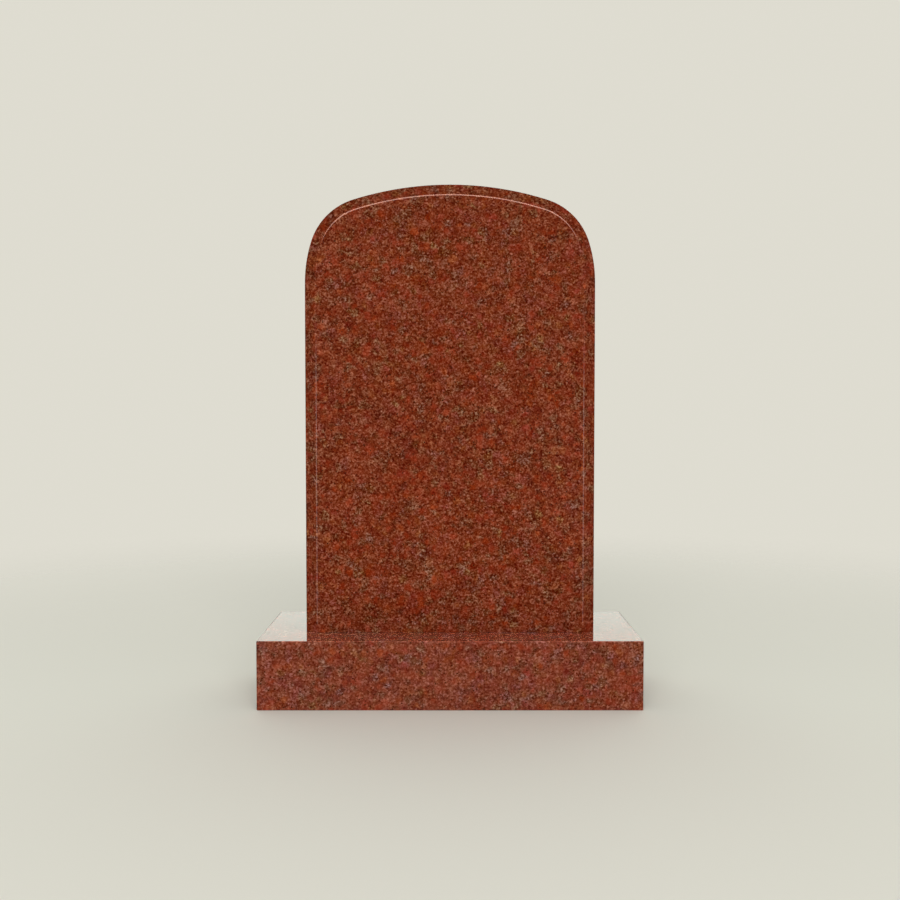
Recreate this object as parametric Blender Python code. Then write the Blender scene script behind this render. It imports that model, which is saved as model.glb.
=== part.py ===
# Round top headstone: a polished granite tablet standing on a plain granite base.
# Units are metres, +Z is up and the front of the stone faces -Y.
# The origin is at the bottom centre of the base.

from math import ceil, cos, hypot, radians, sin

import bmesh
import bpy

# Base
BASE_WIDTH = 0.610
BASE_DEPTH = 0.240
BASE_HEIGHT = 0.110

# Tablet
TABLET_WIDTH = 0.472
TABLET_HEIGHT = 0.728
TABLET_THICKNESS = 0.110

# Round top, a five-centre arch: a wide crown arc, a tight arc on each shoulder and
# an easing arc that runs down from each shoulder into the upright side
ARCH_RISE = 0.158
CROWN_RADIUS = 0.528
SHOULDER_RADIUS = 0.104
SHOULDER_END_TURN = radians(72.5)

# Chamfer round the front of the sides and top
CHAMFER_WIDTH = 0.018
CHAMFER_DEPTH = 0.010

# Every sharp edge that shows is dubbed off by a small arris
ARRIS = 0.0015
ARRIS_SEGMENTS = 2

# The tablet stands on the base with this much bedding space under it
BED_GAP = 0.0003

# Longest turn of one flat facet on a curved edge
FACET_TURN = radians(2.6)

# Finish
POLISH_ROUGHNESS = 0.12
TABLET_COLOUR = (0.178, 0.040, 0.019, 1.0)
BASE_COLOUR = (0.190, 0.047, 0.026, 1.0)


def clear_scene():
    for thing in list(bpy.data.objects):
        bpy.data.objects.remove(thing, do_unlink=True)


def granite(name, colour):
    material = bpy.data.materials.new(name)
    material.use_nodes = True
    shader = material.node_tree.nodes["Principled BSDF"]
    shader.inputs["Base Color"].default_value = colour
    shader.inputs["Roughness"].default_value = POLISH_ROUGHNESS
    shader.inputs["Metallic"].default_value = 0.0
    return material


def add_object(name, bm, material):
    bmesh.ops.recalc_face_normals(bm, faces=bm.faces)
    mesh = bpy.data.meshes.new(name)
    bm.to_mesh(mesh)
    bm.free()
    mesh.materials.append(material)
    mesh.shade_smooth()
    mesh.set_sharp_from_angle(angle=radians(20))
    piece = bpy.data.objects.new(name, mesh)
    bpy.context.scene.collection.objects.link(piece)
    return piece


def solve_crown_turn():
    # The crown and shoulder arcs meet at this angle from the vertical. It is the one
    # at which the easing arc, worked out from the width and from the rise, has the
    # same radius, so every join is smooth.
    half_width = TABLET_WIDTH / 2
    spread = CROWN_RADIUS - SHOULDER_RADIUS
    end_sin = sin(SHOULDER_END_TURN)
    end_cos = cos(SHOULDER_END_TURN)

    def mismatch(turn):
        from_width = (half_width - SHOULDER_RADIUS * end_sin - spread * sin(turn)) / (1 - end_sin)
        from_rise = (ARCH_RISE - CROWN_RADIUS + spread * cos(turn) + SHOULDER_RADIUS * end_cos) / end_cos
        return from_width - from_rise

    low = 0.0
    high = SHOULDER_END_TURN
    for _ in range(60):
        middle = (low + high) / 2
        if mismatch(middle) > 0:
            low = middle
        else:
            high = middle
    return (low + high) / 2


def arch_arcs():
    # The right half of the arch as (centre x, centre z, radius, first turn, last turn),
    # with turns measured from straight up
    crown_turn = solve_crown_turn()
    crown_z = TABLET_HEIGHT - CROWN_RADIUS
    reach = CROWN_RADIUS - SHOULDER_RADIUS
    shoulder_x = reach * sin(crown_turn)
    shoulder_z = crown_z + reach * cos(crown_turn)
    end_sin = sin(SHOULDER_END_TURN)
    end_cos = cos(SHOULDER_END_TURN)
    end_x = shoulder_x + SHOULDER_RADIUS * end_sin
    end_z = shoulder_z + SHOULDER_RADIUS * end_cos
    ease_radius = (TABLET_WIDTH / 2 - end_x) / (1 - end_sin)
    ease_x = end_x - ease_radius * end_sin
    ease_z = end_z - ease_radius * end_cos
    return [
        (0.0, crown_z, CROWN_RADIUS, 0.0, crown_turn),
        (shoulder_x, shoulder_z, SHOULDER_RADIUS, crown_turn, SHOULDER_END_TURN),
        (ease_x, ease_z, ease_radius, SHOULDER_END_TURN, radians(90)),
    ]


def tablet_outline(inset):
    # The outline, moved inwards by inset all along its top and sides, as (x, z)
    # points from the bottom right corner over the top to the bottom left corner
    right = []
    for centre_x, centre_z, radius, first, last in arch_arcs():
        steps = ceil((last - first) / FACET_TURN)
        for step in range(steps):
            turn = first + (last - first) * step / steps
            right.append((
                centre_x + (radius - inset) * sin(turn),
                centre_z + (radius - inset) * cos(turn),
            ))
    side_x = TABLET_WIDTH / 2 - inset
    right.append((side_x, centre_z))
    right.append((side_x, 0.0))
    left = [(-x, z) for x, z in right[1:]]
    return right[::-1] + left


def tablet_edge_profile():
    # How the edge runs from the back face round to the front face, as (inset, y)
    back = TABLET_THICKNESS / 2
    front = -TABLET_THICKNESS / 2
    slope = hypot(CHAMFER_WIDTH, CHAMFER_DEPTH)
    run = ARRIS * CHAMFER_WIDTH / slope
    fall = ARRIS * CHAMFER_DEPTH / slope
    return [
        (ARRIS, back),
        (0.0, back - ARRIS),
        (0.0, front + CHAMFER_DEPTH + ARRIS),
        (run, front + CHAMFER_DEPTH - fall),
        (CHAMFER_WIDTH - run, front + fall),
        (CHAMFER_WIDTH + ARRIS, front),
    ]


def make_tablet():
    bm = bmesh.new()
    rings = []
    for inset, y in tablet_edge_profile():
        corners = [bm.verts.new((x, y, z)) for x, z in tablet_outline(inset)]
        edges = [bm.edges.new((corners[i - 1], corners[i])) for i in range(len(corners))]
        rings.append((corners, edges))
    for (_, back_edges), (_, front_edges) in zip(rings, rings[1:]):
        bmesh.ops.bridge_loops(bm, edges=back_edges + front_edges)
    bm.faces.new(rings[0][0])
    bm.faces.new(rings[-1][0])
    piece = add_object("tablet", bm, granite("tablet_granite", TABLET_COLOUR))
    piece.location = (0.0, 0.0, BASE_HEIGHT + BED_GAP)
    return piece


def make_base():
    bm = bmesh.new()
    bmesh.ops.create_cube(bm, size=1.0)
    bmesh.ops.scale(bm, vec=(BASE_WIDTH, BASE_DEPTH, BASE_HEIGHT), verts=bm.verts)
    bmesh.ops.bevel(
        bm,
        geom=bm.edges[:],
        offset=ARRIS,
        segments=ARRIS_SEGMENTS,
        profile=0.5,
        affect="EDGES",
    )
    piece = add_object("base", bm, granite("base_granite", BASE_COLOUR))
    piece.location = (0.0, 0.0, BASE_HEIGHT / 2)
    return piece


clear_scene()
make_base()
make_tablet()
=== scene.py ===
from math import cos, pi, radians, sin

import bmesh
import bpy
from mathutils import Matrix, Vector


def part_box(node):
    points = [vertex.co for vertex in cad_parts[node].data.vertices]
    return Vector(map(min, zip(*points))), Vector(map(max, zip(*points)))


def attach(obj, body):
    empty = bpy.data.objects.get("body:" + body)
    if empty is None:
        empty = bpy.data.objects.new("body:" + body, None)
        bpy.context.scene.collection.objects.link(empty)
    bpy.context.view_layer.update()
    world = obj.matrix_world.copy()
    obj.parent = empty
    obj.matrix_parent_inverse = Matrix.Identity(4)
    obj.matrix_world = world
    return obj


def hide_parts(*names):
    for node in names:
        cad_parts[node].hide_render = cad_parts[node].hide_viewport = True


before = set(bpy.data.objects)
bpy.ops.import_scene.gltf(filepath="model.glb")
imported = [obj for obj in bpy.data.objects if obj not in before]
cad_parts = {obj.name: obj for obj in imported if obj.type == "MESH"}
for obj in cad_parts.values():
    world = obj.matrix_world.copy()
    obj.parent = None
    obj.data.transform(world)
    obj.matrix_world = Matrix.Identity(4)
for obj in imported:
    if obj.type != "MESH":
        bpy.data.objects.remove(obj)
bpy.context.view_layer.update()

# Round top headstone: the polished red granite of the tablet and its base, in metres.
# The front faces -Y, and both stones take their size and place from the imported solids.

edgeMark = "arris"        # the attribute that marks the dubbed-off edges
weldDistance = 0.00001    # points closer than this are one


# Small helpers for building node trees

def feed(tree, socket, value):
    # a socket takes either a link or a plain value
    if isinstance(value, bpy.types.NodeSocket):
        tree.links.new(value, socket)
    elif value is not None:
        socket.default_value = value


def addNode(tree, kind, inputs=None, **settings):
    node = tree.nodes.new(kind)
    for name, value in settings.items():
        setattr(node, name, value)
    for name, value in (inputs or {}).items():
        feed(tree, node.inputs[name], value)
    return node


def calc(tree, operation, first, second=None, third=None, clamp=False):
    node = addNode(tree, "ShaderNodeMath", operation=operation, use_clamp=clamp)
    for socket, value in zip(node.inputs, (first, second, third)):
        feed(tree, socket, value)
    return node.outputs[0]


def vectorCalc(tree, operation, first, second):
    # second is a plain number where the operation is SCALE
    place = "Scale" if operation == "SCALE" else 1
    return addNode(tree, "ShaderNodeVectorMath", {0: first, place: second}, operation=operation).outputs[0]


def mixColours(tree, share, first, second, blend="MIX"):
    # a Mix node keeps its colours in inputs 6 and 7 and in output 2
    node = addNode(tree, "ShaderNodeMix", {"Factor": share, 6: first, 7: second},
                   data_type="RGBA", blend_type=blend)
    return node.outputs[2]


def ramp(tree, value, low, high, start=0.0, end=1.0):
    # a smooth step from start to end while value goes from low to high
    return addNode(tree, "ShaderNodeMapRange", {
        "Value": value,
        "From Min": low,
        "From Max": high,
        "To Min": start,
        "To Max": end,
    }, interpolation_type="SMOOTHSTEP").outputs[0]


def newGroup(name, kind, inputs, outputs):
    # inputs and outputs are lists of (name, socket type, default)
    tree = bpy.data.node_groups.new(name, kind)
    for direction, sockets in (("INPUT", inputs), ("OUTPUT", outputs)):
        for label, socketType, default in sockets:
            made = tree.interface.new_socket(label, in_out=direction, socket_type=socketType)
            if default is not None:
                made.default_value = default
    source = tree.nodes.new("NodeGroupInput")
    sink = tree.nodes.new("NodeGroupOutput")
    return tree, source.outputs, sink.inputs


# Camera: the photograph's own viewing angle

photoView = {
    "side": 900,              # the photograph is this many pixels square
    "focalPixels": 1030,      # from how the upright sides draw together downwards
    "sensor": 36.0,           # millimetres
    "pitch": radians(2.194),  # looking down
    "toBase": 1.607,          # lens to the base's front face
    "aboveBase": 0.3627,      # lens above the base's top
    "nearest": 0.05,          # the view starts this far from the lens
    "farthest": 60,           # and ends here
}


def makeCamera(view):
    low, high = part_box("base")
    data = bpy.data.cameras.new("photoCamera")
    data.sensor_width = view["sensor"]
    data.lens = view["sensor"] * view["focalPixels"] / view["side"]
    data.clip_start = view["nearest"]
    data.clip_end = view["farthest"]
    camera = bpy.data.objects.new("photoCamera", data)
    camera.location = ((low.x + high.x) / 2, low.y - view["toBase"], high.z + view["aboveBase"])
    camera.rotation_euler = (radians(90) - view["pitch"], 0, 0)
    bpy.context.scene.collection.objects.link(camera)
    bpy.context.scene.camera = camera


makeCamera(photoView)
print("camera placed")


# Granite: one group gives the crystals' colour, how well each takes a polish, and their relief

tabletGranite = {
    "Grain Size": 0.0032,
    "Patch Size": 0.0106,
    "Deep": (0.069, 0.0032, 0.0001, 1),      # the crystals run from this colour
    "Middle": (0.145, 0.0238, 0.0066, 1),
    "Pale": (0.290, 0.091, 0.048, 1),        # to this one and a little past it
    "Dull": (0.843, 1.225, 1.31, 1),         # tints of the patches, from dull to vivid
    "Vivid": (1.213, 0.846, 0.75, 1),
    "Rose": (0.933, 0.916, 1.277, 1),        # and from rose to rust
    "Rust": (1.02, 1.04, 0.75, 1),
    "Mica": (0.036, 0.008, 0.001, 1),
    "Mica Share": 0.02,
    "Contrast": 1.0,
    "Polish": 0.05,                          # roughness of the polished crystals
    "Arris Painted Highlight": 0.15,                  # a painted highlight: how much paler the dubbed-off edges are drawn
    "Arris Lustre": 1.0,                     # and how much more light they catch
}
baseGranite = dict(tabletGranite)
baseGranite.update({
    "Grain Size": 0.0035,
    # the base's own greyer tone, with extra green and blue painted in as the sheen of a pale reflection in
    # its polish
    "Deep": (0.075, 0.0062, 0.0016, 1),
    "Middle": (0.160, 0.0335, 0.0141, 1),
    "Pale": (0.305, 0.109, 0.068, 1),
    "Contrast": 0.88,
    "Arris Lustre": 0.0,
})

granitePattern = {
    "seed": (3.1, 7.4, 1.9),   # moves the pattern about inside the block
    "ragged": 1.0,             # how far the crystals' borders wander, in grains
    "raggedFineness": 1.5,     # and how often, per crystal
    "fleckSize": 0.6,          # the smaller crystals, as a share of a grain
    "mottleFineness": 1.1,     # fine clouds, per grain
    "mottleDetail": 3.0,
    "bandFineness": 0.3,       # broad clouds, per patch
    "softDetail": 2.0,         # detail of the broad clouds and of the wandering
    "standOut": 10.0,          # the higher, the more a few patches stand out
    "dullLean": 0.47,          # how far the patches lean from dull to vivid
    "bandLean": 0.4,           # and how far the broad clouds lean
    "roseLean": 0.41,          # how far the patches lean from rose to rust
    "grainLight": 0.5,         # what each layer adds to how pale a crystal is
    "fleckLight": 0.36,
    "mottleLight": 1.3,
    "patchLight": 0.2,
    "bandLight": 0.15,
    "dullContrast": 1.35,      # contrast between crystals in the dullest patches
    "vividContrast": 0.65,     # and in the most vivid ones
    "tails": 0.8,              # draws the darkest and palest crystals farther out
    "palest": 1.7,             # how far past the middle colour the palest may go
    "darkTint": 1.8,           # strength of the tints in the darkest crystals
    "paleTint": 1.0,           # and in the pale ones
    "micaReach": 0.6,          # how much of its small crystal a fleck of mica fills
    "micaRoughness": 0.2,      # mica takes less polish than feldspar
    "borderDepth": 0.25,       # relief of the crystals' borders beside that of the mica
}


def makeGraniteGroup(pattern, look):
    inputs = [("Vector", "NodeSocketVector", None), ("Arris", "NodeSocketFloat", 0.0)]
    for label, value in look.items():
        socketType = "NodeSocketColor" if isinstance(value, tuple) else "NodeSocketFloat"
        inputs.append((label, socketType, value))
    tree, given, out = newGroup("graniteCrystals", "ShaderNodeTree", inputs, [
        ("Color", "NodeSocketColor", None),
        ("Roughness", "NodeSocketFloat", None),
        ("Height", "NodeSocketFloat", None),
        ("Lustre", "NodeSocketFloat", None),
    ])
    perGrain = calc(tree, "DIVIDE", 1.0, given["Grain Size"])
    perPatch = calc(tree, "DIVIDE", 1.0, given["Patch Size"])
    moved = vectorCalc(tree, "ADD", given["Vector"], pattern["seed"])

    def clouds(scale, detail):
        noise = addNode(tree, "ShaderNodeTexNoise", {"Vector": moved, "Scale": scale, "Detail": detail})
        return noise.outputs

    def crystals(perCell, size, feature="F1"):
        # cells whose borders wander with a finer noise
        finer = clouds(calc(tree, "MULTIPLY", perCell, pattern["raggedFineness"]), pattern["softDetail"])
        drift = vectorCalc(tree, "SUBTRACT", finer["Color"], (0.5, 0.5, 0.5))
        push = vectorCalc(tree, "SCALE", drift, calc(tree, "MULTIPLY", size, pattern["ragged"]))
        cells = addNode(tree, "ShaderNodeTexVoronoi", {
            "Vector": vectorCalc(tree, "ADD", moved, push),
            "Scale": perCell,
            "Randomness": 1.0,
        }, feature=feature)
        chance = addNode(tree, "ShaderNodeSeparateColor", {0: cells.outputs["Color"]})
        return cells.outputs["Distance"], chance.outputs

    def weighed(base, *terms):
        # base plus each value's distance from a half, times its weight
        total = base
        for value, weight in terms:
            share = calc(tree, "MULTIPLY", calc(tree, "SUBTRACT", value, 0.5), weight)
            total = calc(tree, "ADD", total, share)
        return total

    grainEdge, grain = crystals(perGrain, given["Grain Size"])
    fleckSize = calc(tree, "MULTIPLY", given["Grain Size"], pattern["fleckSize"])
    fleckEdge, fleck = crystals(calc(tree, "DIVIDE", 1.0, fleckSize), fleckSize)
    patch = crystals(perPatch, given["Patch Size"], "SMOOTH_F1")[1]
    mottle = clouds(calc(tree, "MULTIPLY", perGrain, pattern["mottleFineness"]), pattern["mottleDetail"])[0]
    bands = clouds(calc(tree, "MULTIPLY", perPatch, pattern["bandFineness"]), pattern["softDetail"])[0]

    def leaned(chance, weight, drift):
        # a share round a half that keeps most patches plain and lets a few stand out
        off = calc(tree, "SUBTRACT", chance, 0.5)
        gain = calc(tree, "MULTIPLY_ADD", calc(tree, "MULTIPLY", off, off), pattern["standOut"], 1.0)
        off = calc(tree, "MULTIPLY", calc(tree, "MULTIPLY", off, gain), weight)
        return addNode(tree, "ShaderNodeClamp", {"Value": calc(tree, "ADD", off, drift)}).outputs[0]

    # soft-edged patches of a centimetre or so lean from dull to vivid, and from rose to rust
    leaning = leaned(patch[0], pattern["dullLean"], weighed(0.5, (bands, pattern["bandLean"])))
    warming = leaned(patch[2], pattern["roseLean"], 0.5)

    # how pale each crystal is, with more contrast in the dull patches
    light = weighed(0.0, (grain[0], pattern["grainLight"]), (fleck[0], pattern["fleckLight"]),
                    (mottle, pattern["mottleLight"]))
    lessContrast = pattern["vividContrast"] - pattern["dullContrast"]
    contrast = calc(tree, "MULTIPLY_ADD", leaning, lessContrast, pattern["dullContrast"])
    light = calc(tree, "MULTIPLY", light, contrast)
    light = calc(tree, "ADD", light, weighed(0.0, (patch[1], pattern["patchLight"]),
                                             (bands, pattern["bandLight"])))
    drawnOut = calc(tree, "MULTIPLY_ADD", calc(tree, "MULTIPLY", light, light), pattern["tails"], 1.0)
    light = calc(tree, "MULTIPLY_ADD", calc(tree, "MULTIPLY", light, drawnOut), given["Contrast"], 0.5)

    # the colour runs from deep red through brown, in the dark half, to pale salmon in the pale half
    darkHalf = calc(tree, "MULTIPLY", light, 2.0, clamp=True)
    paleHalf = calc(tree, "MULTIPLY_ADD", light, 2.0, -1.0)
    paleHalf = addNode(tree, "ShaderNodeClamp", {"Value": paleHalf, "Max": pattern["palest"]}).outputs[0]
    feldspar = mixColours(tree, darkHalf, given["Deep"], given["Middle"])
    paleStep = mixColours(tree, 1.0, given["Pale"], given["Middle"], "SUBTRACT")
    feldspar = mixColours(tree, 1.0, feldspar, vectorCalc(tree, "SCALE", paleStep, paleHalf), "ADD")

    def tinted(colour, share, first, second):
        # a tint shows more in the dark crystals than in the pale ones
        strength = calc(tree, "MULTIPLY_ADD", darkHalf, pattern["paleTint"] - pattern["darkTint"],
                        pattern["darkTint"])
        share = calc(tree, "MULTIPLY_ADD", calc(tree, "SUBTRACT", share, 0.5), strength, 0.5)
        return mixColours(tree, 1.0, colour, mixColours(tree, share, first, second), "MULTIPLY")

    feldspar = tinted(feldspar, leaning, given["Dull"], given["Vivid"])
    feldspar = tinted(feldspar, warming, given["Rose"], given["Rust"])

    # flecks of black mica
    micaMask = calc(tree, "MULTIPLY", calc(tree, "LESS_THAN", fleck[2], given["Mica Share"]),
                    calc(tree, "LESS_THAN", fleckEdge, pattern["micaReach"]))
    withMica = mixColours(tree, micaMask, feldspar, given["Mica"])

    # the dubbed-off edges get a painted highlight, drawn paler, and a coat that catches more light
    paintedHighlight = calc(tree, "MULTIPLY_ADD", given["Arris"], given["Arris Painted Highlight"], 1.0)
    feed(tree, out["Color"], vectorCalc(tree, "SCALE", withMica, paintedHighlight))
    feed(tree, out["Lustre"], calc(tree, "MULTIPLY", given["Arris"], given["Arris Lustre"]))

    # soft mica takes less polish than feldspar, and lies a hair lower
    feed(tree, out["Roughness"],
         calc(tree, "MULTIPLY_ADD", micaMask, pattern["micaRoughness"], given["Polish"]))
    border = calc(tree, "MULTIPLY", grainEdge, -pattern["borderDepth"])
    feed(tree, out["Height"], calc(tree, "SUBTRACT", border, micaMask))
    return tree


graniteGroup = makeGraniteGroup(granitePattern, tabletGranite)
print("granite mixed")

polishFinish = {
    "gloss": 0.25,            # how strongly the polish mirrors
    "relief": 0.00002,        # how deep the relief of crystals and mica is
    "reliefStrength": 0.4,
    "edgeGloss": 1.5,         # refraction of the lustre on the dubbed-off edges
    "edgeSoftness": 0.14,     # and how far it blurs what it mirrors
}


def makeGranite(name, look, finish):
    material = bpy.data.materials.new(name)
    material.use_nodes = True
    tree = material.node_tree
    shader = tree.nodes["Principled BSDF"]
    where = addNode(tree, "ShaderNodeTexCoord")
    granite = addNode(tree, "ShaderNodeGroup", node_tree=graniteGroup)
    feed(tree, granite.inputs["Vector"], where.outputs["Object"])
    for label, value in look.items():
        granite.inputs[label].default_value = value
    edge = addNode(tree, "ShaderNodeAttribute", attribute_name=edgeMark, attribute_type="GEOMETRY")
    feed(tree, granite.inputs["Arris"], edge.outputs["Fac"])
    relief = addNode(tree, "ShaderNodeBump", {
        "Height": granite.outputs["Height"],
        "Strength": finish["reliefStrength"],
        "Distance": finish["relief"],
    })
    feed(tree, shader.inputs["Base Color"], granite.outputs["Color"])
    feed(tree, shader.inputs["Roughness"], granite.outputs["Roughness"])
    feed(tree, shader.inputs["Normal"], relief.outputs["Normal"])
    feed(tree, shader.inputs["Coat Weight"], granite.outputs["Lustre"])
    shader.inputs["Specular IOR Level"].default_value = finish["gloss"]
    shader.inputs["Coat IOR"].default_value = finish["edgeGloss"]
    shader.inputs["Coat Roughness"].default_value = finish["edgeSoftness"]
    return material


# Tablet: a Geometry Nodes tree lays a band of rings round the five-centre arch and closes
# it with a flat front, back and bed

tabletShape = {
    "archRise": 0.158,        # from the top of the upright sides to the crown
    "crownRadius": 0.528,
    "shoulderRadius": 0.104,
    "shoulderEndTurn": radians(72.5),   # from straight up, where the easing arc takes over
    "chamferWidth": 0.018,    # across the face
    "chamferDepth": 0.010,    # back from it
    "faceCorner": 0.007,      # rounding where the chamfer meets the face
    "sideCorner": 0.002,      # and where it meets the side
    "backCorner": 0.002,
    "cornerSteps": 6,
    "turnSteps": 180,         # one ring point for each degree of the arch
}


def crownTurn(shape, halfWidth):
    # the angle at which the crown arc hands over to the shoulder arc, found by halving
    halvings = 60
    spread = shape["crownRadius"] - shape["shoulderRadius"]
    endSin = sin(shape["shoulderEndTurn"])
    endCos = cos(shape["shoulderEndTurn"])
    low = 0.0
    high = shape["shoulderEndTurn"]
    for _ in range(halvings):
        turn = (low + high) / 2
        byWidth = (halfWidth - shape["shoulderRadius"] * endSin - spread * sin(turn)) / (1 - endSin)
        byRise = shape["archRise"] - shape["crownRadius"] + spread * cos(turn)
        byRise = (byRise + shape["shoulderRadius"] * endCos) / endCos
        if byWidth > byRise:
            low = turn
        else:
            high = turn
    return turn


def pick(tree, index, values):
    # the value whose number in the list is index
    node = addNode(tree, "GeometryNodeIndexSwitch", data_type="FLOAT")
    while len(node.index_switch_items) < len(values):
        node.index_switch_items.new()
    feed(tree, node.inputs["Index"], index)
    for place, value in enumerate(values):
        feed(tree, node.inputs[place + 1], value)
    return node.outputs[0]


def choose(tree, test, ifTrue, ifFalse):
    node = addNode(tree, "GeometryNodeSwitch", {"Switch": test, "False": ifFalse, "True": ifTrue},
                   input_type="FLOAT")
    return node.outputs[0]


outlineInputs = [
    ("Half Width", "NodeSocketFloat", 0.236),
    ("Height", "NodeSocketFloat", 0.728),
    ("Crown Radius", "NodeSocketFloat", 0.528),
    ("Crown Turn", "NodeSocketFloat", 0.3),
    ("Shoulder Radius", "NodeSocketFloat", 0.104),
    ("Shoulder End Turn", "NodeSocketFloat", 1.265),
]
edgeInputs = [
    ("Thickness", "NodeSocketFloat", 0.11),
    ("Chamfer Width", "NodeSocketFloat", 0.018),
    ("Chamfer Depth", "NodeSocketFloat", 0.01),
    ("Face Corner", "NodeSocketFloat", 0.007),
    ("Side Corner", "NodeSocketFloat", 0.002),
    ("Back Corner", "NodeSocketFloat", 0.002),
    ("Corner Steps", "NodeSocketInt", 6),
]


def makeOutlineGroup():
    # column number round the arch to a point, drawn inwards by Inset
    tree, given, out = newGroup("archOutline", "GeometryNodeTree", [
        ("Column", "NodeSocketInt", 0),
        ("Turn Steps", "NodeSocketInt", 180),
        ("Inset", "NodeSocketFloat", 0.0),
    ] + outlineInputs, [
        ("Across", "NodeSocketFloat", None),
        ("Up", "NodeSocketFloat", None),
    ])
    endSin = calc(tree, "SINE", given["Shoulder End Turn"])
    endCos = calc(tree, "COSINE", given["Shoulder End Turn"])
    crownUp = calc(tree, "SUBTRACT", given["Height"], given["Crown Radius"])
    reach = calc(tree, "SUBTRACT", given["Crown Radius"], given["Shoulder Radius"])
    shoulderAcross = calc(tree, "MULTIPLY", reach, calc(tree, "SINE", given["Crown Turn"]))
    shoulderUp = calc(tree, "MULTIPLY_ADD", reach, calc(tree, "COSINE", given["Crown Turn"]), crownUp)
    handover = calc(tree, "MULTIPLY_ADD", given["Shoulder Radius"], endSin, shoulderAcross)
    easeRadius = calc(tree, "DIVIDE", calc(tree, "SUBTRACT", given["Half Width"], handover),
                      calc(tree, "SUBTRACT", 1.0, endSin))
    easeAcross = calc(tree, "SUBTRACT", given["Half Width"], easeRadius)
    easeUp = calc(tree, "MULTIPLY_ADD", calc(tree, "SUBTRACT", given["Shoulder Radius"], easeRadius),
                  endCos, shoulderUp)

    # the first and last columns are the foot corners, and the rest turn from -90 to 90 degrees
    inner = calc(tree, "SUBTRACT", given["Column"], 1)
    along = calc(tree, "DIVIDE", inner, given["Turn Steps"], clamp=True)
    turn = calc(tree, "MULTIPLY", calc(tree, "SUBTRACT", along, 0.5), pi)
    lean = calc(tree, "ABSOLUTE", turn)
    side = calc(tree, "SIGN", turn)
    onCrown = calc(tree, "LESS_THAN", lean, given["Crown Turn"])
    onShoulder = calc(tree, "LESS_THAN", lean, given["Shoulder End Turn"])

    def byArc(crown, shoulder, ease):
        return choose(tree, onCrown, crown, choose(tree, onShoulder, shoulder, ease))

    radius = byArc(given["Crown Radius"], given["Shoulder Radius"], easeRadius)
    drawn = calc(tree, "SUBTRACT", radius, given["Inset"])
    centreAcross = byArc(0.0, shoulderAcross, easeAcross)
    centreUp = byArc(crownUp, shoulderUp, easeUp)
    across = calc(tree, "MULTIPLY_ADD", drawn, calc(tree, "SINE", lean), centreAcross)
    up = calc(tree, "MULTIPLY_ADD", drawn, calc(tree, "COSINE", lean), centreUp)
    offFoot = calc(tree, "COMPARE", inner, calc(tree, "MULTIPLY", along, given["Turn Steps"]), 0.5)
    tree.links.new(calc(tree, "MULTIPLY", across, side), out["Across"])
    tree.links.new(calc(tree, "MULTIPLY", up, offFoot), out["Up"])
    return tree


def makeEdgeGroup():
    # ring number from the face round to the back to an inset and a depth; each of the
    # three corners is rounded, and a direction of 0 looks forwards and 180 backwards
    tree, given, out = newGroup("stoneEdge", "GeometryNodeTree", [
        ("Ring", "NodeSocketInt", 0),
    ] + edgeInputs, [
        ("Inset", "NodeSocketFloat", None),
        ("Depth", "NodeSocketFloat", None),
    ])
    half = calc(tree, "MULTIPLY", given["Thickness"], 0.5)
    front = calc(tree, "MULTIPLY", half, -1.0)
    tilt = calc(tree, "ARCTAN2", given["Chamfer Depth"], given["Chamfer Width"])
    perCorner = calc(tree, "ADD", given["Corner Steps"], 1)
    corner = calc(tree, "FLOOR", calc(tree, "DIVIDE", given["Ring"], perCorner))
    step = calc(tree, "SUBTRACT", given["Ring"], calc(tree, "MULTIPLY", corner, perCorner))
    first = pick(tree, corner, [0.0, tilt, pi / 2])
    last = pick(tree, corner, [tilt, pi / 2, pi])
    radius = pick(tree, corner, [given["Face Corner"], given["Side Corner"], given["Back Corner"]])
    sharpInset = pick(tree, corner, [given["Chamfer Width"], 0.0, 0.0])
    sharpDepth = pick(tree, corner, [front, calc(tree, "ADD", front, given["Chamfer Depth"]), half])

    # the rounding's centre lies back from the sharp corner, along the middle direction
    middle = calc(tree, "MULTIPLY", calc(tree, "ADD", first, last), 0.5)
    halfTurn = calc(tree, "MULTIPLY", calc(tree, "SUBTRACT", last, first), 0.5)
    back = calc(tree, "DIVIDE", radius, calc(tree, "COSINE", halfTurn))
    direction = calc(tree, "MULTIPLY_ADD", calc(tree, "DIVIDE", step, given["Corner Steps"]),
                     calc(tree, "SUBTRACT", last, first), first)
    outwards = calc(tree, "SUBTRACT",
                    calc(tree, "MULTIPLY", back, calc(tree, "SINE", middle)),
                    calc(tree, "MULTIPLY", radius, calc(tree, "SINE", direction)))
    forwards = calc(tree, "SUBTRACT",
                    calc(tree, "MULTIPLY", back, calc(tree, "COSINE", middle)),
                    calc(tree, "MULTIPLY", radius, calc(tree, "COSINE", direction)))
    tree.links.new(calc(tree, "ADD", sharpInset, outwards), out["Inset"])
    tree.links.new(calc(tree, "ADD", sharpDepth, forwards), out["Depth"])
    return tree


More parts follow.
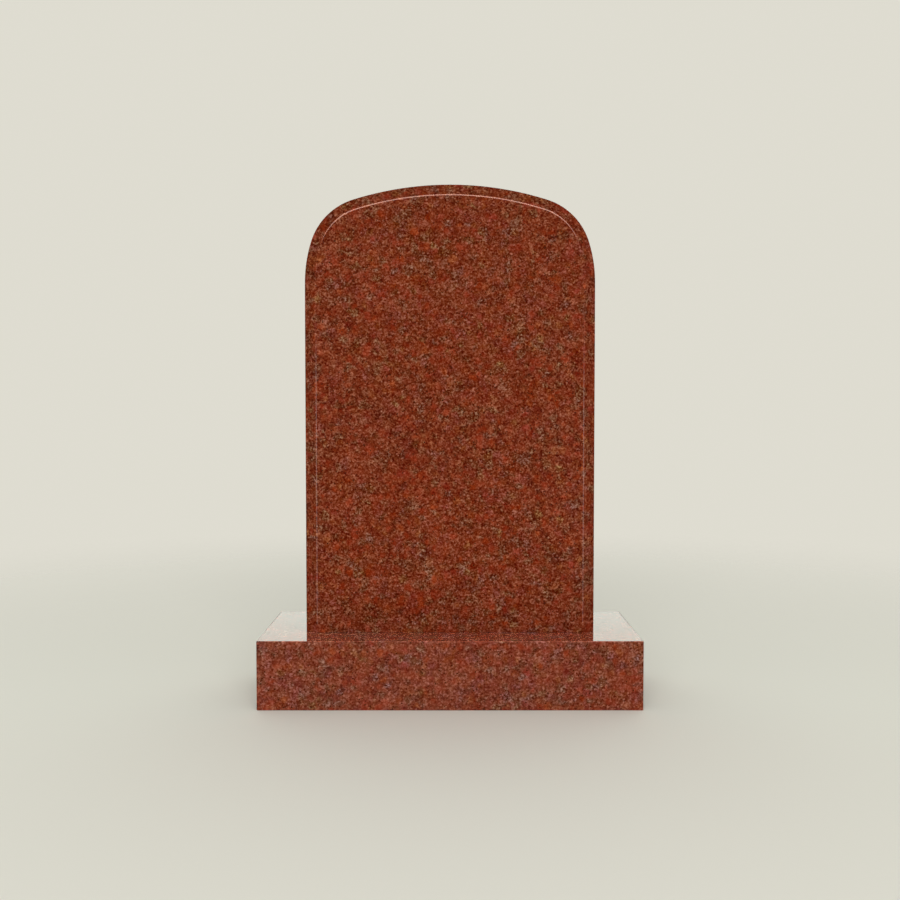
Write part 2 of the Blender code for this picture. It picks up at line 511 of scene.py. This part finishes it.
def makeStoneTree():
    outline = makeOutlineGroup()
    edge = makeEdgeGroup()
    tree, given, out = newGroup("archedStone", "GeometryNodeTree", [
        ("Geometry", "NodeSocketGeometry", None),
        ("Material", "NodeSocketMaterial", None),
        ("Turn Steps", "NodeSocketInt", 180),
        ("Foot", "NodeSocketVector", (0, 0, 0)),
    ] + outlineInputs + edgeInputs, [("Geometry", "NodeSocketGeometry", None)])

    # a column at each end of every turn step and at both foot corners, and rings for three corners
    columns = calc(tree, "ADD", given["Turn Steps"], 3)
    rings = calc(tree, "MULTIPLY", calc(tree, "ADD", given["Corner Steps"], 1), 3)
    lastRing = calc(tree, "SUBTRACT", rings, 1)
    lastColumn = calc(tree, "SUBTRACT", columns, 1)
    index = addNode(tree, "GeometryNodeInputIndex").outputs[0]

    def shaped(mesh, column, ring):
        # moves every point of mesh to its column round the arch and ring across the edge
        edgeAt = addNode(tree, "GeometryNodeGroup", node_tree=edge)
        feed(tree, edgeAt.inputs["Ring"], ring)
        for name, _, _ in edgeInputs:
            feed(tree, edgeAt.inputs[name], given[name])
        outlineAt = addNode(tree, "GeometryNodeGroup", node_tree=outline)
        feed(tree, outlineAt.inputs["Column"], column)
        feed(tree, outlineAt.inputs["Turn Steps"], given["Turn Steps"])
        feed(tree, outlineAt.inputs["Inset"], edgeAt.outputs["Inset"])
        for name, _, _ in outlineInputs:
            feed(tree, outlineAt.inputs[name], given[name])
        point = addNode(tree, "ShaderNodeCombineXYZ", {
            "X": outlineAt.outputs["Across"],
            "Y": edgeAt.outputs["Depth"],
            "Z": outlineAt.outputs["Up"],
        })
        return addNode(tree, "GeometryNodeSetPosition", {
            "Geometry": mesh,
            "Position": point.outputs[0],
        }).outputs[0]

    # the band of rings, with the points inside each rounded corner marked
    grid = addNode(tree, "GeometryNodeMeshGrid", {"Vertices X": columns, "Vertices Y": rings})
    gridColumn = calc(tree, "FLOOR", calc(tree, "DIVIDE", calc(tree, "ADD", index, 0.5), rings))
    gridRing = calc(tree, "SUBTRACT", index, calc(tree, "MULTIPLY", gridColumn, rings))
    step = calc(tree, "MODULO", gridRing, calc(tree, "ADD", given["Corner Steps"], 1))
    rounded = calc(tree, "MULTIPLY", calc(tree, "GREATER_THAN", step, 0.5),
                   calc(tree, "LESS_THAN", step, calc(tree, "SUBTRACT", given["Corner Steps"], 0.5)))
    marked = addNode(tree, "GeometryNodeStoreNamedAttribute", {
        "Geometry": grid.outputs[0],
        "Name": edgeMark,
        "Value": rounded,
    }, data_type="FLOAT", domain="POINT")
    band = shaped(marked.outputs[0], gridColumn, gridRing)

    # the flat front, back and bed, whose corners are those of the band's open borders
    def disc(corners):
        return addNode(tree, "GeometryNodeMeshCircle", {"Vertices": corners}, fill_type="NGON").outputs[0]

    front = shaped(disc(columns), index, 0)
    back = shaped(disc(columns), index, lastRing)
    bedCorners = calc(tree, "MULTIPLY", rings, 2)
    onLeft = calc(tree, "LESS_THAN", index, rings)
    ringBack = calc(tree, "SUBTRACT", calc(tree, "SUBTRACT", bedCorners, 1), index)
    bedColumn = choose(tree, onLeft, 0.0, lastColumn)
    bed = shaped(disc(bedCorners), bedColumn, choose(tree, onLeft, index, ringBack))

    joined = addNode(tree, "GeometryNodeJoinGeometry")
    for part in (band, front, back, bed):
        tree.links.new(part, joined.inputs[0])
    welded = addNode(tree, "GeometryNodeMergeByDistance", {
        "Geometry": joined.outputs[0],
        "Distance": weldDistance,
    })
    stood = addNode(tree, "GeometryNodeTransform", {
        "Geometry": welded.outputs[0],
        "Translation": given["Foot"],
    })
    realised = addNode(tree, "GeometryNodeRealizeInstances", {"Geometry": stood.outputs[0]})
    finished = addNode(tree, "GeometryNodeSetMaterial", {
        "Geometry": realised.outputs[0],
        "Material": given["Material"],
    })
    tree.links.new(finished.outputs[0], out["Geometry"])
    return tree


def setInputs(modifier, values):
    # a modifier's input is known by its socket's identifier
    for item in modifier.node_group.interface.items_tree:
        if item.item_type == "SOCKET" and item.in_out == "INPUT" and item.name in values:
            modifier[item.identifier] = values[item.name]


def toPlainMesh(piece):
    # turns what the modifiers make into the piece's own mesh
    graph = bpy.context.evaluated_depsgraph_get()
    mesh = bpy.data.meshes.new_from_object(piece.evaluated_get(graph))
    piece.modifiers.clear()
    piece.data = mesh
    shell = bmesh.new()
    shell.from_mesh(mesh)
    bmesh.ops.recalc_face_normals(shell, faces=shell.faces)
    shell.to_mesh(mesh)
    shell.free()


def shadeStone(mesh):
    # the dubbed-off edges are shaded smoothly, and the flat faces beside them stay quite flat
    sharpBend = radians(4)    # the arch's sides bend less than this from one step to the next
    mesh.shade_smooth()
    onEdge = [mark.value > 0.5 for mark in mesh.attributes[edgeMark].data]
    beside = {}
    for face in mesh.polygons:
        for key in face.edge_keys:
            beside.setdefault(key, []).append(face)
    for edge in mesh.edges:
        rounded = [any(onEdge[corner] for corner in face.vertices) for face in beside[edge.key]]
        bend = beside[edge.key][0].normal.angle(beside[edge.key][1].normal)
        edge.use_edge_sharp = rounded[0] != rounded[1] or (not rounded[0] and bend > sharpBend)


def finishPiece(piece, node):
    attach(piece, "root")
    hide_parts(node)


def makeTablet(shape, material):
    low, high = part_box("tablet")
    halfWidth = (high.x - low.x) / 2
    piece = bpy.data.objects.new("granite_tablet", bpy.data.meshes.new("granite_tablet"))
    bpy.context.scene.collection.objects.link(piece)
    modifier = piece.modifiers.new("archedStone", "NODES")
    modifier.node_group = makeStoneTree()
    setInputs(modifier, {
        "Material": material,
        "Turn Steps": shape["turnSteps"],
        "Foot": ((low.x + high.x) / 2, (low.y + high.y) / 2, low.z),
        "Half Width": halfWidth,
        "Height": high.z - low.z,
        "Crown Radius": shape["crownRadius"],
        "Crown Turn": crownTurn(shape, halfWidth),
        "Shoulder Radius": shape["shoulderRadius"],
        "Shoulder End Turn": shape["shoulderEndTurn"],
        "Thickness": high.y - low.y,
        "Chamfer Width": shape["chamferWidth"],
        "Chamfer Depth": shape["chamferDepth"],
        "Face Corner": shape["faceCorner"],
        "Side Corner": shape["sideCorner"],
        "Back Corner": shape["backCorner"],
        "Corner Steps": shape["cornerSteps"],
    })
    toPlainMesh(piece)
    shadeStone(piece.data)
    finishPiece(piece, "tablet")
    return piece


tablet = makeTablet(tabletShape, makeGranite("tabletGranite", tabletGranite, polishFinish))
print("tablet made:", len(tablet.data.polygons), "faces")


# Base: a squared block with its edges dubbed off

baseShape = {"corner": 0.0013, "cornerSteps": 4}


def makeBase(shape, material):
    low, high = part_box("base")
    block = bmesh.new()
    bmesh.ops.create_cube(block, size=1.0)
    bmesh.ops.scale(block, vec=high - low, verts=block.verts)
    bmesh.ops.translate(block, vec=(low + high) / 2, verts=block.verts)
    mesh = bpy.data.meshes.new("granite_base")
    block.to_mesh(mesh)
    block.free()
    mesh.materials.append(material)
    piece = bpy.data.objects.new("granite_base", mesh)
    bpy.context.scene.collection.objects.link(piece)
    dubbed = piece.modifiers.new("dubbedEdges", "BEVEL")
    dubbed.width = shape["corner"]
    dubbed.segments = shape["cornerSteps"]
    dubbed.limit_method = "NONE"
    toPlainMesh(piece)
    # the points of the rounded edges lie on none of the block's flat sides
    marks = piece.data.attributes.new(edgeMark, "FLOAT", "POINT").data
    for point, mark in zip(piece.data.vertices, marks):
        gaps = [min(abs(point.co[axis] - low[axis]), abs(point.co[axis] - high[axis])) for axis in range(3)]
        mark.value = 1.0 if min(gaps) > weldDistance else 0.0
    shadeStone(piece.data)
    finishPiece(piece, "base")
    return piece


base = makeBase(baseShape, makeGranite("baseGranite", baseGranite, polishFinish))
print("base made:", len(base.data.polygons), "faces")


# Studio: a plain pale floor that fades into the backdrop, and soft lights round the stone

studio = {
    "backdrop": (0.735, 0.716, 0.635),   # what the camera sees behind
    "fill": (0.25, 0.25, 0.24),          # what lights the stone from all round
    "sky": (0.60, 0.60, 0.59),           # from overhead
    "skyUp": (0.3, 0.95),                # the sky sets in between these heights
    "below": (0.80, 0.79, 0.73),         # and from the pale floor farther off
    "belowUp": (-0.15, 0.0),             # which ends between these
    "mirrored": (0.035, 0.035, 0.033),   # what its polish mirrors, away from the lights
    "glow": (1.84, 2.00, 1.80),          # a low pale glow behind the stone
    "glowBack": (0.1, 0.95),             # each glow grows between its first two numbers
    "glowUp": (0.06, 0.16, 0.25, 0.75),  # and fades between its last two
    "sideGlow": (1.70, 1.65, 1.60),      # one on each side, in front of the stone
    "sideAcross": (0.13, 0.20, 0.4, 0.8),
    "sideUp": (-0.222, -0.208, 0.02, 0.08),
    "crownGlow": (7.1, 4.6, 3.75),       # and a broad warm one, high in front of it
    "crownAcross": (-2.0, -1.0, 0.5, 0.9),
    "crownUp": (0.36, 0.47, 0.98, 1.18),
    "floorColour": (0.86, 0.842, 0.758),
    "floorRoughness": 0.9,
    "floorRadius": 4.5,
    "floorSides": 96,
    "floorFade": (0.5, 2.4),             # from solid to clear, so that it runs into the backdrop
}

softboxes = {
    "key": {                     # low and broad, far in front
        "at": (0.0, -7.0, 2.2),
        "aim": (0.0, 0.0, 0.45),
        "size": (6.6, 2.4),
        "radiance": (8.3, 8.3, 8.3),
    },
    "baseLight": {               # above the front of the base
        "at": (0.0, -0.32, 1.4),
        "aim": (0.0, -0.10, 0.10),
        "size": (1.0, 0.3),
        "radiance": (12.0, 12.0, 12.0),
        "only": base,            # lights nothing else
    },
    "lowLight": {                # weak, for the lower part of the face
        "at": (0.0, -0.27, 0.25),
        "aim": (0.0, -0.055, 0.25),
        "size": (1.0, 0.08),
        "radiance": (0.5, 0.5, 0.5),
        "only": tablet,
    },
}


def makeSoftbox(name, light):
    data = bpy.data.lights.new(name, "AREA")
    data.shape = "RECTANGLE"
    data.size, data.size_y = light["size"]
    data.energy = pi * light["size"][0] * light["size"][1]   # so that color is the lamp's radiance
    data.color = light["radiance"]
    lamp = bpy.data.objects.new(name, data)
    lamp.location = light["at"]
    lamp.rotation_euler = (Vector(light["aim"]) - Vector(light["at"])).to_track_quat("-Z", "Y").to_euler()
    lamp.visible_camera = False
    lamp.visible_glossy = False
    bpy.context.scene.collection.objects.link(lamp)
    if "only" in light:
        lit = bpy.data.collections.new(name)
        lit.objects.link(light["only"])
        lamp.light_linking.receiver_collection = lit


def makeFloor(room):
    disc = bmesh.new()
    bmesh.ops.create_circle(disc, cap_ends=True, segments=room["floorSides"], radius=room["floorRadius"])
    mesh = bpy.data.meshes.new("studioFloor")
    disc.to_mesh(mesh)
    disc.free()
    material = bpy.data.materials.new("studioFloor")
    material.use_nodes = True
    tree = material.node_tree
    shader = tree.nodes["Principled BSDF"]
    shader.inputs["Roughness"].default_value = room["floorRoughness"]
    shader.inputs["Specular IOR Level"].default_value = 0.0
    shader.inputs["Base Color"].default_value = (*room["floorColour"], 1)
    where = addNode(tree, "ShaderNodeTexCoord")
    reach = addNode(tree, "ShaderNodeVectorMath", {0: where.outputs["Object"]}, operation="LENGTH")
    feed(tree, shader.inputs["Alpha"], ramp(tree, reach.outputs["Value"], *room["floorFade"], 1.0, 0.0))
    mesh.materials.append(material)
    floor = bpy.data.objects.new("studioFloor", mesh)
    floor.visible_glossy = False
    bpy.context.scene.collection.objects.link(floor)


def makeWorld(room):
    world = bpy.data.worlds.new("studioWorld")
    world.use_nodes = True
    tree = world.node_tree
    output = tree.nodes["World Output"]
    seen = tree.nodes["Background"]
    seen.inputs["Color"].default_value = (*room["backdrop"], 1)
    rays = addNode(tree, "ShaderNodeLightPath")
    where = addNode(tree, "ShaderNodeTexCoord")
    across, back, up = addNode(tree, "ShaderNodeSeparateXYZ", {0: where.outputs["Generated"]}).outputs

    def within(value, edges):
        # grows between the first two edges and fades between the last two
        return calc(tree, "MULTIPLY", ramp(tree, value, *edges[:2]), ramp(tree, value, *edges[2:], 1.0, 0.0))

    # a glow behind the stone, which lights it too
    behind = calc(tree, "MULTIPLY", ramp(tree, back, *room["glowBack"]), within(up, room["glowUp"]))
    glow = vectorCalc(tree, "SCALE", room["glow"], behind)

    # and glows in front of it, which only the polish mirrors
    leastAhead = 0.001    # keeps the divisions below in bounds
    ahead = calc(tree, "MAXIMUM", calc(tree, "MULTIPLY", back, -1.0), leastAhead)
    aside = calc(tree, "DIVIDE", calc(tree, "ABSOLUTE", across), ahead)
    rise = calc(tree, "DIVIDE", up, ahead)
    atSides = calc(tree, "MULTIPLY", within(aside, room["sideAcross"]), within(up, room["sideUp"]))
    atCrown = calc(tree, "MULTIPLY", within(aside, room["crownAcross"]), within(rise, room["crownUp"]))
    mirrored = vectorCalc(tree, "ADD", vectorCalc(tree, "SCALE", room["sideGlow"], atSides),
                          vectorCalc(tree, "SCALE", room["crownGlow"], atCrown))
    mirrored = vectorCalc(tree, "ADD", mirrored, room["mirrored"])

    # soft light from all round, more from overhead, and pale from below
    fill = mixColours(tree, ramp(tree, up, *room["skyUp"]), (*room["fill"], 1), (*room["sky"], 1))
    fill = mixColours(tree, ramp(tree, up, *room["belowUp"], 1.0, 0.0), fill, (*room["below"], 1))
    around = mixColours(tree, rays.outputs["Is Glossy Ray"], fill, mirrored)
    lit = vectorCalc(tree, "ADD", around, glow)
    unseen = addNode(tree, "ShaderNodeBackground", {"Color": lit})
    mix = addNode(tree, "ShaderNodeMixShader", {
        0: rays.outputs["Is Camera Ray"],
        1: unseen.outputs[0],
        2: seen.outputs[0],
    })
    tree.links.new(mix.outputs[0], output.inputs["Surface"])
    bpy.context.scene.world = world


makeFloor(studio)
makeWorld(studio)
for boxName, boxLight in softboxes.items():
    makeSoftbox(boxName, boxLight)
bpy.context.scene.view_settings.view_transform = "Standard"
print("studio lit")
